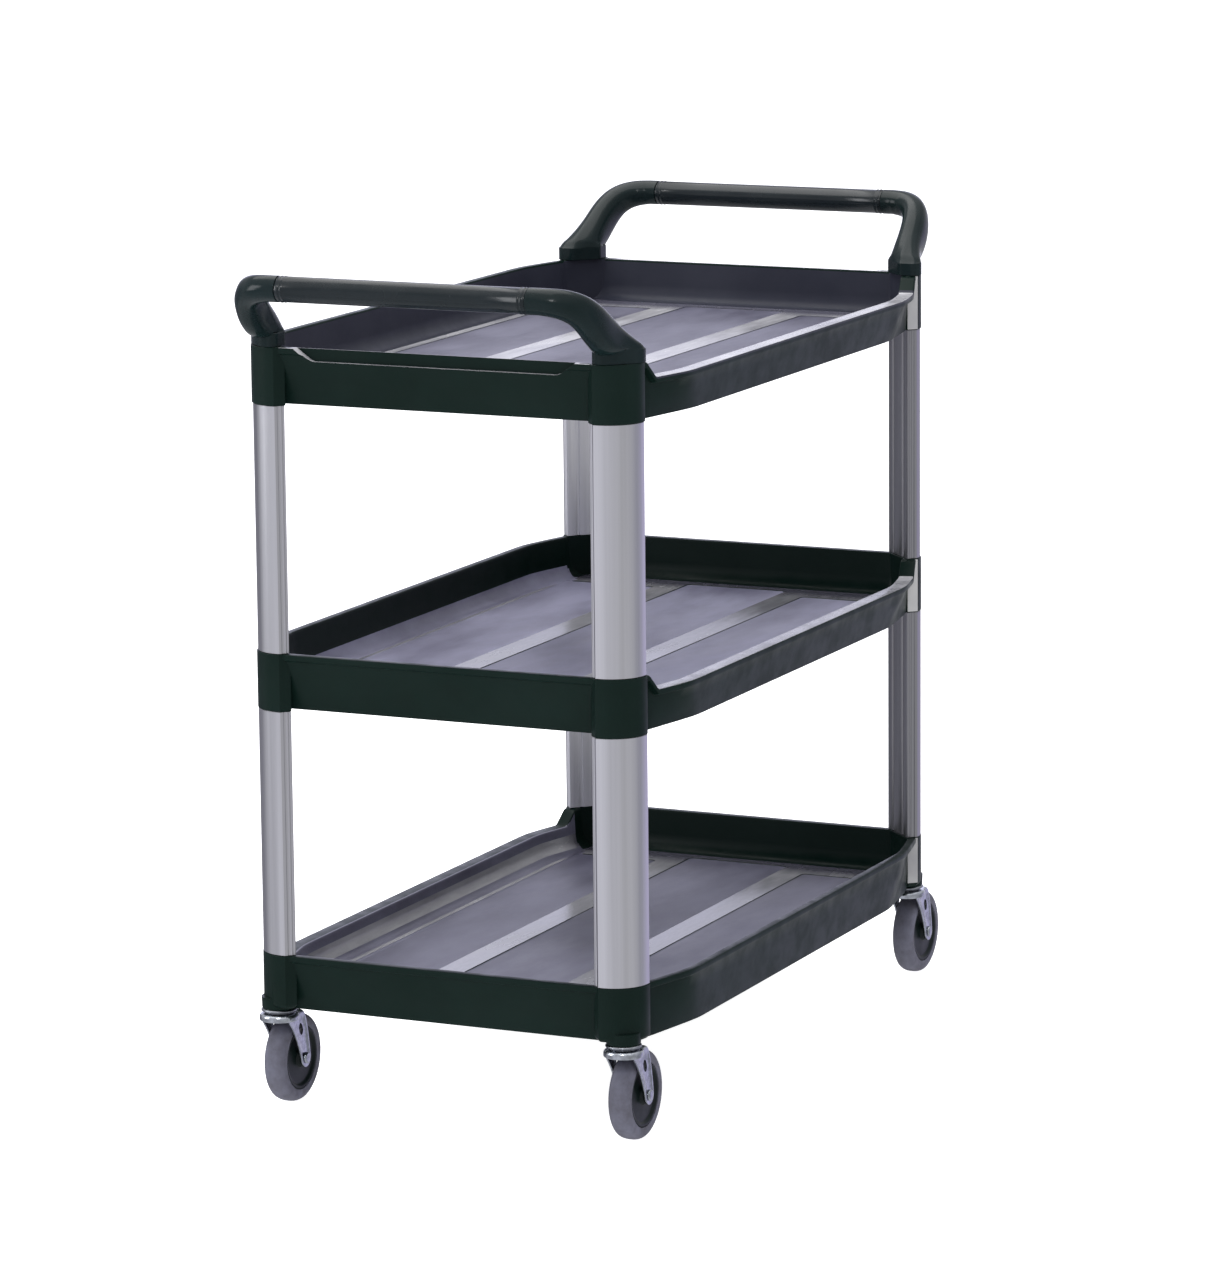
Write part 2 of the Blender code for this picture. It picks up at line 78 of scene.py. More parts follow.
# Floor: three recessed panels with two strips between them.
PANEL_DROP = 0.8
PANEL_CORNER = 6.0
STRIP_X = 82.0
STRIP_HALF = 16.0
PANEL_HIGH_X = 216.0
PANEL_LOW_X = 206.0
MID_PANEL_Y = 396.0
SIDE_PANEL_Y = 366.0
LONG_SIDE_Y = 386.0

# D section of the corner bosses and uprights: middle, width, rise of the round face, depth inward.
POST_X = 215.2
POST_Y = 420.6
POST_W = 60.3
POST_SAG = 14.2
POST_SIDE = 13.1
BOSS_TOP = RIM_H + 0.3
SPIGOT = 24.0

# Handles.
HANDLE_TOP = 960.0
BAR_Y = 506.0
BAR_R = 14.0
CORE_R = 10.5
GRIP_R = BAR_R - 0.4
GRIP_HALF = 151.0

# Casters: the swivel's place, the fork and the wheel.
CASTER_X = 214.0
CASTER_Y = 420.5
TRAIL = 30.0
STEM_R = 5.2
BOSS_Z = 115.6
CROWN_TOP = 109.6
PLATE_T = 2.5
FORK_HALF = 17.8
CUP_R = 22.6
CUP_Z = 101.4
AXLE_R = 4.0
NUT_R = 6.8
WHEEL_R = 50.8
WHEEL_HALF = 13.0
RIM_R = 36.5

# Radius of the softened plastic edges in metres, and the way that the boss flank with the painted glare
# faces.
EDGE_R = 0.0009
GLARE_WAY = Vector((0.7071, -0.7071, 0.0))


# ---------------------------------------------------------------- materials
class Nodes:
    """Small helper round one material's node tree."""

    def __init__(self, name, colour, roughness, metallic=0.0, specular=0.5):
        self.mat = bpy.data.materials.new(name)
        self.mat.use_nodes = True
        self.tree = self.mat.node_tree
        self.bsdf = self.tree.nodes["Principled BSDF"]
        self.bsdf.inputs["Base Color"].default_value = (*colour, 1.0)
        self.bsdf.inputs["Roughness"].default_value = roughness
        self.bsdf.inputs["Metallic"].default_value = metallic
        self.bsdf.inputs["Specular IOR Level"].default_value = specular
        self.mat.diffuse_color = (*colour, 1.0)
        self.coord = self.node("ShaderNodeTexCoord").outputs["Object"]

    def node(self, kind, **values):
        made = self.tree.nodes.new(kind)
        for key, value in values.items():
            setattr(made, key, value)
        return made

    def link(self, a, b):
        self.tree.links.new(a, b)

    def stretched(self, scale):
        mapping = self.node("ShaderNodeMapping")
        mapping.inputs["Scale"].default_value = scale
        self.link(self.coord, mapping.inputs["Vector"])
        return mapping.outputs["Vector"]

    def noise(self, scale, detail=4.0, vector=None, rough=0.55):
        tex = self.node("ShaderNodeTexNoise")
        tex.inputs["Scale"].default_value = scale
        tex.inputs["Detail"].default_value = detail
        tex.inputs["Roughness"].default_value = rough
        self.link(vector or self.coord, tex.inputs["Vector"])
        return tex.outputs["Fac"]

    def cells(self, scale):
        tex = self.node("ShaderNodeTexVoronoi")
        tex.inputs["Scale"].default_value = scale
        self.link(self.coord, tex.inputs["Vector"])
        return tex.outputs["Distance"]

    def ramp(self, value, low, high, at0=0.35, at1=0.65):
        r = self.node("ShaderNodeMapRange")
        r.inputs["From Min"].default_value = at0
        r.inputs["From Max"].default_value = at1
        r.inputs["To Min"].default_value = low
        r.inputs["To Max"].default_value = high
        self.link(value, r.inputs["Value"])
        return r.outputs["Result"]

    def mix(self, value, a, b):
        m = self.node("ShaderNodeMix", data_type="RGBA")
        m.inputs["A"].default_value = (*a, 1.0)
        m.inputs["B"].default_value = (*b, 1.0)
        self.link(value, m.inputs["Factor"])
        return m.outputs["Result"]

    def blend(self, a, b, share=0.5):
        m = self.node("ShaderNodeMix", data_type="FLOAT")
        m.inputs["Factor"].default_value = share
        self.link(a, m.inputs["A"])
        self.link(b, m.inputs["B"])
        return m.outputs["Result"]

    def bump(self, height, strength, distance, normal=None):
        b = self.node("ShaderNodeBump")
        b.inputs["Strength"].default_value = strength
        b.inputs["Distance"].default_value = distance
        self.link(height, b.inputs["Height"])
        if normal is not None:
            self.link(normal, b.inputs["Normal"])
        self.link(b.outputs["Normal"], self.bsdf.inputs["Normal"])

    def set(self, socket, source):
        self.link(source, self.bsdf.inputs[socket])


def moulded_plastic(name, dark, light, rough, specular, grain):
    """Plastic with a cloudy colour, uneven gloss, a fine grain and softened edges."""
    m = Nodes(name, dark, rough, 0.0, specular)
    cloud = m.noise(7.0, 5.0)
    m.set("Base Color", m.mix(m.ramp(cloud, 0.0, 1.0), dark, light))
    patch = m.noise(38.0, 6.0)
    m.set("Roughness", m.ramp(patch, rough - 0.06, rough + 0.08))
    fine = m.blend(m.noise(1500.0, 2.0), m.cells(950.0), 0.4)
    bevel = m.node("ShaderNodeBevel", samples=4)
    bevel.inputs["Radius"].default_value = EDGE_R
    m.bump(fine, grain, 0.0003, bevel.outputs["Normal"])
    return m.mat


def floor_panel(name, gain):
    """Textured floor plastic with smears along the tray; gain scales its colour as painted light and shade
    for each shelf.
    """
    dark = (0.070 * gain, 0.068 * gain, 0.102 * gain)
    light = (0.138 * gain, 0.137 * gain, 0.190 * gain)
    m = Nodes(name, dark, 0.38, 0.0, 0.42)
    smear = m.noise(9.0, 7.0, m.stretched((1.6, 0.7, 1.0)), 0.6)
    m.set("Base Color", m.mix(m.ramp(smear, 0.0, 1.0), dark, light))
    scuff = m.noise(26.0, 8.0, m.stretched((1.0, 0.35, 1.0)), 0.62)
    m.set("Roughness", m.ramp(m.blend(smear, scuff, 0.5), 0.31, 0.50))
    leather = m.blend(m.cells(420.0), m.noise(640.0, 3.0), 0.45)
    m.bump(leather, 0.34, 0.0004)
    return m.mat


def smooth_strip_painted_sheen(name, end_colour):
    """Smooth plastic in light grey as a painted reflection of its gloss, which fades to end_colour near the
    tray's ends.
    """
    m = Nodes(name, (0.33, 0.33, 0.35), 0.20, 0.0, 0.6)
    sheen_streaks = m.noise(24.0, 7.0, m.stretched((1.0, 0.25, 1.0)), 0.6)
    light = m.mix(m.ramp(sheen_streaks, 0.0, 1.0), (0.26, 0.26, 0.28), (0.42, 0.42, 0.44))
    split = m.node("ShaderNodeSeparateXYZ")
    m.link(m.coord, split.inputs["Vector"])
    far = m.node("ShaderNodeMath", operation="ABSOLUTE")
    m.link(split.outputs["Y"], far.inputs[0])
    past = m.ramp(far.outputs["Value"], 0.0, 1.0, 0.352, 0.392)
    both = m.node("ShaderNodeMix", data_type="RGBA")
    m.link(light, both.inputs["A"])
    both.inputs["B"].default_value = (*end_colour, 1.0)
    m.link(past, both.inputs["Factor"])
    m.set("Base Color", both.outputs["Result"])
    m.set("Roughness", m.ramp(sheen_streaks, 0.16, 0.30))
    m.bump(m.noise(500.0, 3.0), 0.08, 0.0002)
    return m.mat


def satin_aluminium(name, gain):
    """Drawn aluminium with fine lines along Z; gain scales its brightness as painted light and shade for each
    corner.
    """
    m = Nodes(name, (0.62 * gain, 0.62 * gain, 0.645 * gain), 0.34, 1.0)
    lines = m.noise(1.0, 3.0, m.stretched((900.0, 900.0, 2.5)), 0.5)
    broad = m.noise(1.0, 3.0, m.stretched((120.0, 120.0, 0.8)), 0.5)
    m.set("Base Color", m.mix(m.ramp(broad, 0.0, 1.0), (0.58 * gain, 0.58 * gain, 0.605 * gain),
                              (0.66 * gain, 0.66 * gain, 0.69 * gain)))
    m.set("Roughness", m.ramp(m.blend(lines, broad), 0.28, 0.42))
    m.bump(lines, 0.10, 0.0001)
    return m.mat


def zinc(name, bright, rough):
    """Zinc plate with faint spangles and duller clouds."""
    m = Nodes(name, bright, rough, 1.0)
    spangle = m.cells(210.0)
    cloud = m.noise(90.0, 5.0)
    dull = tuple(c * 0.72 for c in bright)
    m.set("Base Color", m.mix(m.ramp(m.blend(spangle, cloud), 0.0, 1.0), bright, dull))
    m.set("Roughness", m.ramp(cloud, rough - 0.05, rough + 0.14))
    m.bump(m.noise(700.0, 3.0), 0.06, 0.0002)
    return m.mat


def tread_rubber(name):
    m = Nodes(name, (0.105, 0.102, 0.128), 0.62, 0.0, 0.35)
    dirt = m.noise(60.0, 7.0, None, 0.6)
    dirty = m.ramp(dirt, 0.0, 1.0, 0.30, 0.72)
    m.set("Base Color", m.mix(dirty, (0.108, 0.110, 0.150), (0.070, 0.068, 0.086)))
    m.set("Roughness", m.ramp(dirt, 0.52, 0.74))
    m.bump(m.blend(m.noise(900.0, 3.0), m.cells(420.0), 0.3), 0.22, 0.0004)
    return m.mat


WALL_MAT = moulded_plastic("moulded_wall",
                           (0.0030, 0.0100, 0.0078), (0.0046, 0.0128, 0.0105), 0.34, 0.09, 0.14)
BOW_MAT = moulded_plastic("moulded_bow",
                          (0.0040, 0.0098, 0.0098), (0.0062, 0.0125, 0.0140), 0.20, 0.16, 0.06)
GRIP_MAT = moulded_plastic("smooth_grip",
                           (0.0046, 0.0085, 0.0100), (0.0070, 0.0110, 0.0135), 0.20, 0.30, 0.04)
# Painted light and shade: one floor plastic in three copies, each brightened or darkened for its shelf in
# place of the light that reaches it; the middle shelf's copy is much brighter.
PANEL_MAT = {"top_shelf": floor_panel("textured_floor_top_painted_shade", 0.90),
             "middle_shelf": floor_panel("textured_floor_middle_painted_light", 2.5),
             "bottom_shelf": floor_panel("textured_floor_bottom_painted_light", 1.2)}
# Painted reflection: the smooth floor strips are light grey in place of the gloss on black plastic.
PAINTED_SHEEN_STRIP_MAT = smooth_strip_painted_sheen("smooth_strip_painted_sheen", (0.075, 0.073, 0.100))
# Painted highlight: light grey along the low rims and the top tray's end edges in place of the light they
# catch.
PAINTED_HIGHLIGHT_EDGE_MAT = moulded_plastic("edge_painted_highlight",
                                  (0.24, 0.24, 0.26), (0.42, 0.42, 0.44), 0.26, 0.5, 0.05)
LIT_WALL_MAT = moulded_plastic("lit_wall",
                               (0.0200, 0.0215, 0.0330), (0.0290, 0.0310, 0.0440), 0.34, 0.12, 0.14)
# Painted glare: a light grey patch on the far right flank of each corner boss.
GLARE_FLANK_MAT = moulded_plastic("flank_painted_glare",
                                 (0.24, 0.24, 0.25), (0.42, 0.42, 0.42), 0.40, 0.30, 0.10)
# Painted light and shade: lit and shaded copies of one aluminium, much darker at the far right corner and
# brighter at the far left.
ALUMINIUM_MAT = {"near_left": satin_aluminium("satin_aluminium_nl_painted_shade", 0.93),
                 "near_right": satin_aluminium("satin_aluminium_nr", 1.0),
                 "far_left": satin_aluminium("satin_aluminium_fl_painted_light", 1.32),
                 "far_right": satin_aluminium("satin_aluminium_fr_painted_shade", 0.56)}
ZINC_MAT = zinc("bright_zinc", (0.50, 0.53, 0.57), 0.17)
RACE_MAT = zinc("dull_zinc", (0.34, 0.36, 0.39), 0.26)
RUBBER_MAT = tread_rubber("grey_tread")
HUB_MAT = moulded_plastic("black_hub",
                          (0.0032, 0.0070, 0.0066), (0.0055, 0.0095, 0.0092), 0.34, 0.16, 0.10)


# ---------------------------------------------------------------- mesh tools
def add_loops(bm, loops, closed=False):
    """Joins equal-count rings of millimetre points into one closed body."""
    rings = [[bm.verts.new(Vector(p) * MM) for p in loop] for loop in loops]
    pairs = list(zip(rings[:-1], rings[1:]))
    if closed:
        pairs.append((rings[-1], rings[0]))
    for low, high in pairs:
        count = len(low)
        for i in range(count):
            j = (i + 1) % count
            bm.faces.new((low[i], low[j], high[j], high[i]))
    if not closed:
        bm.faces.new(list(reversed(rings[0])))
        bm.faces.new(rings[-1])


def raw_object(name, bm):
    bmesh.ops.recalc_face_normals(bm, faces=bm.faces)
    mesh = bpy.data.meshes.new(name)
    bm.to_mesh(mesh)
    bm.free()
    obj = bpy.data.objects.new(name, mesh)
    bpy.context.scene.collection.objects.link(obj)
    return obj


def carve(obj, steps):
    """Applies union and difference steps, each (kind, bmesh), and removes the tools."""
    tools = []
    for kind, bm in steps:
        tool = raw_object("tool", bm)
        tools.append(tool)
        mod = obj.modifiers.new("step", "BOOLEAN")
        mod.operation = kind
        mod.solver = "EXACT"
        mod.object = tool
    graph = bpy.context.evaluated_depsgraph_get()
    graph.update()
    done = bpy.data.meshes.new_from_object(obj.evaluated_get(graph))
    obj.modifiers.clear()
    obj.data = done
    for tool in tools:
        bpy.data.objects.remove(tool)


def finish_piece(obj, node, looks, place=None, sharp=32.0):
    """Gives a piece its materials, smooth shading and place, and puts it on its body."""
    if place is not None:
        obj.data.transform(place)
    obj.data.materials.clear()
    for look in looks:
        obj.data.materials.append(look)
    obj.data.shade_smooth()
    obj.data.set_sharp_from_angle(angle=math.radians(sharp))
    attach(obj, frame["nodes"][node]["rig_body"])
    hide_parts(node)
    return obj


def fillet(points, radius, closed=True, steps=4):
    """Rounds the corners of a 2-D outline; radius may be one number or one per point."""
    out = []
    count = len(points)
    for i, p in enumerate(points):
        r = radius[i] if isinstance(radius, (list, tuple)) else radius
        if not closed and i in (0, count - 1) or r <= 0:
            out.append(tuple(p))
            continue
        a = Vector(points[i - 1])
        p = Vector(p)
        b = Vector(points[(i + 1) % count])
        da = min(r, 0.46 * (a - p).length)
        db = min(r, 0.46 * (b - p).length)
        start = p + (a - p).normalized() * da
        end = p + (b - p).normalized() * db
        for s in range(steps + 1):
            t = s / steps
            q = start * (1 - t) ** 2 + p * 2 * t * (1 - t) + end * t * t
            out.append((q.x, q.y))
    return out


def lathe(rows, n=64, axis="Z", closed=False):
    """Turned body about the Z or X axis; rows hold radius, height along the axis."""
    loops = []
    for r, h in rows:
        loop = []
        for i in range(n):
            a = 2 * math.pi * i / n
            if axis == "Z":
                loop.append((r * math.cos(a), r * math.sin(a), h))
            else:
                loop.append((h, r * math.cos(a), r * math.sin(a)))
        loops.append(loop)
    bm = bmesh.new()
    add_loops(bm, loops, closed=closed)
    return bm


def at_z(points, z):
    return [(p[0], p[1], z) for p in points]


def circle(cx, cy, r, z, n=48):
    turns = [2 * math.pi * i / n for i in range(n)]
    return [(cx + r * math.cos(a), cy + r * math.sin(a), z) for a in turns]


def inset(points, amounts):
    """Moves every point of a counter-clockwise ring inward by its own amount."""
    out = []
    count = len(points)
    for i in range(count):
        a = Vector(points[i - 1][:2])
        b = Vector(points[i][:2])
        c = Vector(points[(i + 1) % count][:2])
        d1 = (b - a).normalized()
        d2 = (c - b).normalized()
        n1 = Vector((-d1.y, d1.x))
        n2 = Vector((-d2.y, d2.x))
        n = (n1 + n2).normalized()
        k = amounts[i] / max(0.6, n.dot(n1))
        out.append((b.x + n.x * k, b.y + n.y * k))
    return out


def corner_frame(sx, sy):
    """Diagonal outward, the direction across it and the middle of the upright at a corner."""
    q = math.sqrt(0.5)
    out = Vector((sx * q, sy * q))
    along = Vector((-out.y, out.x))
    return out, along, Vector((sx * POST_X, sy * POST_Y))


def ccw(pts):
    """The same ring, counter-clockwise."""
    area = sum(p[0] * r[1] - r[0] * p[1] for p, r in zip(pts, pts[1:] + pts[:1]))
    return pts if area > 0 else list(reversed(pts))


def post_outline(sx, sy, grow=0.0, grooves=False, steps=26):
    """D section at a corner: round face outward, flat face toward the middle."""
    out, along, base = corner_frame(sx, sy)
    radius = (POST_W ** 2 / 4 + POST_SAG ** 2) / (2 * POST_SAG)
    half = math.asin(POST_W / 2 / radius)
    radius_g = radius + grow
    w = POST_W / 2 + grow
    s = POST_SIDE + grow
    arc = []
    for i in range(steps + 1):
        a = -half + 2 * half * i / steps
        arc.append((radius_g * math.sin(a), radius_g * math.cos(a) - (radius - POST_SAG)))
    if grooves:
        side = [(w, -3.5), (w - 1.0, -4.1), (w - 1.0, -7.0), (w, -7.6), (w, -9.2), (w - 0.7, -9.6),
                (w - 0.7, -10.6), (w, -11.0), (w, -s)]
        half_flat = [(17.0, -s), (16.6, -s + 1.6), (12.8, -s + 1.6), (12.4, -s)]
        local = side + half_flat
        local = local + [(-x, d) for x, d in reversed(local)]
        pts = arc + fillet(local, 0.7, closed=False, steps=2)
    else:
        local = [(w, -s), (-w, -s)]
        pts = arc[1:-1] + fillet([arc[-1]] + local + [arc[0]], 1.6, closed=False, steps=3)
    return ccw([tuple(base + along * x + out * d) for x, d in pts])


# ---------------------------------------------------------------- trays
# One corner of a tray from above, as x, y from the middle of its end to the middle of its side:
# the rim, the foot of the skirt, and the skirt just under the rim.
RIM_CORNER = [(176.0, 439.0), (189.0, 439.0), (197.0, 438.6), (211.0, 435.6), (222.5, 427.6),
              (230.5, 416.0), (234.0, 402.0), (236.6, 393.0), (241.4, 375.0), (254.0, 322.0),
              (255.0, 300.0)]
FOOT_CORNER = [(176.0, 420.0), (186.0, 420.0), (195.0, 419.6), (203.0, 416.0), (210.5, 409.5),
               (217.5, 402.5), (222.5, 397.0), (226.0, 390.0), (229.7, 374.0), (244.0, 294.0),
               (245.0, 276.0)]
UNDER_CORNER = [(176.0, 436.5), (187.0, 436.5), (196.0, 435.5), (206.0, 431.0), (215.0, 422.0),
                (222.0, 410.5), (226.0, 400.0), (228.0, 391.0), (232.8, 373.2), (252.6, 320.0),
                (253.6, 298.0)]
# Where a corner has a column of vertices, counted in its points: close together where it bends or steps.
STATIONS = ([0.0, 1.0] + [1.0 + i / 3 for i in range(1, 16)] + [6.0 + i / 8 for i in range(1, 17)]
            + [8.5, 8.75, 9.0, 9.25, 9.5, 10.0])
# How far the rim has come down from the raised height, from the corner to the low side.
STEP_DOWN = [(6.7, 0.0), (7.0, 0.05), (7.125, 0.12), (7.875, 0.93), (8.0, 1.0)]
BEND_FROM = 8.5
BEND_TO = 9.5
UNDER_DROP = 8.0
FLANGE_END = 8.0
COVE_EASE = 0.66
# The inner wall and its cove down to the floor: distance in from the flange, height over the floor.
COVE = [(2.4, 20.0), (3.3, 15.0), (4.8, 11.0), (7.0, 7.4), (10.2, 4.2), (14.0, 1.9), (18.6, 0.5),
        (24.0, 0.0)]

# The tray's materials, in the order of its material slots.
WALL, PANEL, STRIP, LIT_WALL, GLARE_FLANK, PAINTED_HIGHLIGHT_EDGE = range(6)


def between(table, k):
    """The value at k on straight lines between the table's rows."""
    for (a, va), (b, vb) in zip(table, table[1:]):
        if k <= b:
            t = min(1.0, max(0.0, (k - a) / (b - a)))
            return va + (vb - va) * t
    return table[-1][1]


def corner_point(corner, k):
    """The outline's point at station k: a smooth curve round the corner, then straight runs and a bend."""
    i = min(int(k), len(corner) - 2)
    t = k - i
    p0, p1, p2, p3 = (Vector(corner[j]) for j in (max(0, i - 1), i, i + 1, min(len(corner) - 1, i + 2)))
    if 1.0 < k < 7.0:
        q = 0.5 * ((2 * p1) + (p2 - p0) * t + (2 * p0 - 5 * p1 + 4 * p2 - p3) * t * t
                   + (3 * p1 - p0 - 3 * p2 + p3) * t ** 3)
    else:
        q = p1.lerp(p2, t)
    if BEND_FROM < k < BEND_TO:
        a = Vector(corner[8]).lerp(corner[9], 0.5)
        c = Vector(corner[9]).lerp(corner[10], 0.5)
        u = k - BEND_FROM
        q = a * (1 - u) ** 2 + Vector(corner[9]) * 2 * u * (1 - u) + c * u * u
    return q.x, q.y


def ring(corner):
    """The whole outline, counter-clockwise, from one corner and its mirror images."""
    pts = []
    for sx, sy, order in ((1, -1, 1), (1, 1, -1), (-1, 1, 1), (-1, -1, -1)):
        for k in STATIONS[::order]:
            x, y = corner_point(corner, k)
            pts.append((sx * x, sy * y))
    return pts


def tray_body(name):
    """Skirt, rim flange, inner walls and floor as one loft, from under the floor round to its top."""
    base = SHELF_Z[name]
    floor = base + FLOOR_H
    rim_xy = ring(RIM_CORNER)
    foot_xy = ring(FOOT_CORNER)
    under_xy = ring(UNDER_CORNER)
    top_z = []
    flange = []
    ease = []
    for k, (x, y) in zip((STATIONS + STATIONS[::-1]) * 2, rim_xy):
        is_low = x * LOW_SIDE[name] > 0
        drop = between(STEP_DOWN, k) * (RIM_H - LIP_H) if is_low else 0.0
        top_z.append(base + RIM_H - drop)
        side = LOW_FLANGE if is_low else HIGH_FLANGE
        share = min(1.0, max(0.0, (k - 1) / (FLANGE_END - 1)))
        flange.append(END_FLANGE + (side - END_FLANGE) * share)
        ease.append(COVE_EASE if 0.9 < k < 7.5 else 1.0)

    def foot(inward, z):
        return at_z(inset(foot_xy, [inward] * len(foot_xy)), z)

    def rim(inward, dz):
        return [(p[0], p[1], z + dz) for p, z in zip(inset(rim_xy, [inward] * len(rim_xy)), top_z)]

    def flange_edge(inward, dz):
        return [(p[0], p[1], z + dz) for p, z in zip(inset(rim_xy, [w + inward for w in flange]), top_z)]

    def skirt(t):
        row = []
        for f, u, z in zip(foot_xy, under_xy, top_z):
            height = (z - UNDER_DROP - base) * t
            row.append((f[0] + (u[0] - f[0]) * t, f[1] + (u[1] - f[1]) * t, base + height))
        return row

    loops = [foot(SKIRT_T + 1.5, floor - FLOOR_T), foot(SKIRT_T + 0.1, base + 1.0),
             foot(SKIRT_T - 0.7, base + 0.2), foot(0.9, base), foot(0.2, base + 0.3),
             at_z(foot_xy, base + 1.2)]
    loops += [skirt(t) for t in (0.25, 0.5, 0.75)]
    loops.append([(p[0], p[1], z - UNDER_DROP) for p, z in zip(under_xy, top_z)])
    for inward, dz in ((0.35, -6.4), (0.0, -5.0), (0.0, -2.4), (0.25, -1.2), (0.9, -0.35), (2.2, 0.0)):
        loops.append(rim(inward, dz))
    for inward, dz in ((-2.4, 0.0), (-0.9, -0.35), (-0.25, -1.2), (0.0, -2.6)):
        loops.append(flange_edge(inward, dz))
    for inward, height in COVE:
        loops.append(at_z(inset(rim_xy, [w + inward * e for w, e in zip(flange, ease)]), floor + height))
    bm = bmesh.new()
    add_loops(bm, loops)
    return bm


def corner_posts(name):
    """The boss at each corner, with the plugs that go into the uprights over and under it."""
    base = SHELF_Z[name]
    top = base + BOSS_TOP
    bm = bmesh.new()
    for sx, sy in CORNERS.values():
        boss = post_outline(sx, sy, 0.5)
        soft = post_outline(sx, sy, -0.1)
        plug = post_outline(sx, sy, -6.6)
        tip = post_outline(sx, sy, -7.8)
        if name == "bottom_shelf":
            rows = [at_z(post_outline(sx, sy, -3.0), base + 4.0),
                    at_z(post_outline(sx, sy, -0.8), base + 6.2), at_z(boss, base + 8.6)]
        else:
            rows = [at_z(tip, base - SPIGOT), at_z(plug, base - SPIGOT + 2.0), at_z(plug, base),
                    at_z(soft, base), at_z(boss, base + 0.7)]
        rows += [at_z(boss, base + 44.0), at_z(boss, top - 0.7), at_z(soft, top)]
        if name != "top_shelf":
            rows += [at_z(plug, top), at_z(plug, top + SPIGOT - 2.3), at_z(tip, top + SPIGOT - 0.3)]
        add_loops(bm, rows)
    return bm


def panel_recesses(name):
    """Cutters for the three textured floor panels; the middle one is longer than the other two."""
    floor = SHELF_Z[name] + FLOOR_H
    right_low = LOW_SIDE[name] > 0
    left = PANEL_HIGH_X if right_low else PANEL_LOW_X
    right = PANEL_LOW_X if right_low else PANEL_HIGH_X
    inner = STRIP_X - STRIP_HALF
    outer = STRIP_X + STRIP_HALF
    panels = [(-left, -outer, SIDE_PANEL_Y), (-inner, inner, MID_PANEL_Y), (outer, right, SIDE_PANEL_Y)]
    bm = bmesh.new()
    for x0, x1, y in panels:
        rows = []
        for shrink, z in ((1.4, floor - PANEL_DROP), (0.3, floor - 0.1), (0.0, floor + 1.0)):
            box = [(x0 + shrink, -y + shrink), (x1 - shrink, -y + shrink), (x1 - shrink, y - shrink),
                   (x0 + shrink, y - shrink)]
            rows.append(at_z(fillet(box, PANEL_CORNER, steps=5), z))
        add_loops(bm, rows)
    return bm


def end_recesses(name):
    """Cutters for the shallow recess outside each end wall, under the handle."""
    base = SHELF_Z[name]
    top = base + RIM_H + 4.0
    shape = fillet([(-152.0, base + 50.0), (152.0, base + 50.0), (179.0, top), (-179.0, top)],
                   [5.0, 5.0, 0.0, 0.0], steps=5)
    bm = bmesh.new()
    for sy in (-1, 1):
        inner = [(x * 0.985, sy * 430.4, z + 0.9) for x, z in shape]
        outer = [(x, sy * 446.0, z) for x, z in shape]
        add_loops(bm, [inner, outer])
    return bm


def at_casters(rows):
    """Round bodies at the four caster places; rows hold radius, height."""
    bm = bmesh.new()
    for sx, sy in CORNERS.values():
        add_loops(bm, [circle(sx * CASTER_X, sy * CASTER_Y, r, z) for r, z in rows])
    return bm


def in_boss(point):
    """True for a point over one of the four corner bosses."""
    p = Vector((abs(point.x) / MM - POST_X, abs(point.y) / MM - POST_Y))
    return p.x + p.y > -POST_SIDE * 1.56 and abs(p.x - p.y) < POST_W * 0.75


def tray_look(name, face):
    """The material slot for one face of a tray, from its place and the way it faces."""
    base = SHELF_Z[name]
    floor = base + FLOOR_H
    x, y, z = (v / MM for v in face.center)
    up = face.normal.z
    boss = in_boss(face.center)
    beside_floor = abs(y) < LONG_SIDE_Y
    inner_wall = up > 0.05 and floor - 0.5 < z < base + 50.0
    to_middle = face.normal.x * x < 0.0 and face.normal.y * y < 0.0
    if name == "top_shelf" and boss and to_middle and z > floor and abs(up) < 0.5:
        return LIT_WALL
    # Painted glare on the far right boss's flank that faces this way.
    if boss and x > 0.0 and y > 0.0 and base + 9.0 < z < base + 60.0 and face.normal.dot(GLARE_WAY) > 0.97:
        return GLARE_FLANK
    # Painted light on the left inner wall beside the floor: the middle shelf's lower wall takes the
    # brightened floor colour, and the bottom shelf's takes floor colour with a light band of strip colour.
    if inner_wall and beside_floor and x < -190.0 and face.normal.x > 0.05:
        if name == "bottom_shelf":
            return STRIP if floor + 5.0 < z < floor + 18.0 else PANEL
        if name == "middle_shelf" and z < floor + 14.0:
            return PANEL
    # Painted highlight on the upward faces of the low rim and the top tray's end edges.
    low_side = name != "bottom_shelf" and beside_floor and x * LOW_SIDE[name] > 0.0
    end_edge = name == "top_shelf" and abs(y) > 424.0
    if up > 0.7 and z > base + 30.0 and (low_side or end_edge) and not boss:
        return PAINTED_HIGHLIGHT_EDGE
    if up > 0.98:
        if abs(z - (floor - PANEL_DROP)) < 0.1:
            return PANEL
        return STRIP if abs(z - floor) < 0.6 else WALL
    return LIT_WALL if name == "top_shelf" and inner_wall and abs(y) < 431.0 else WALL


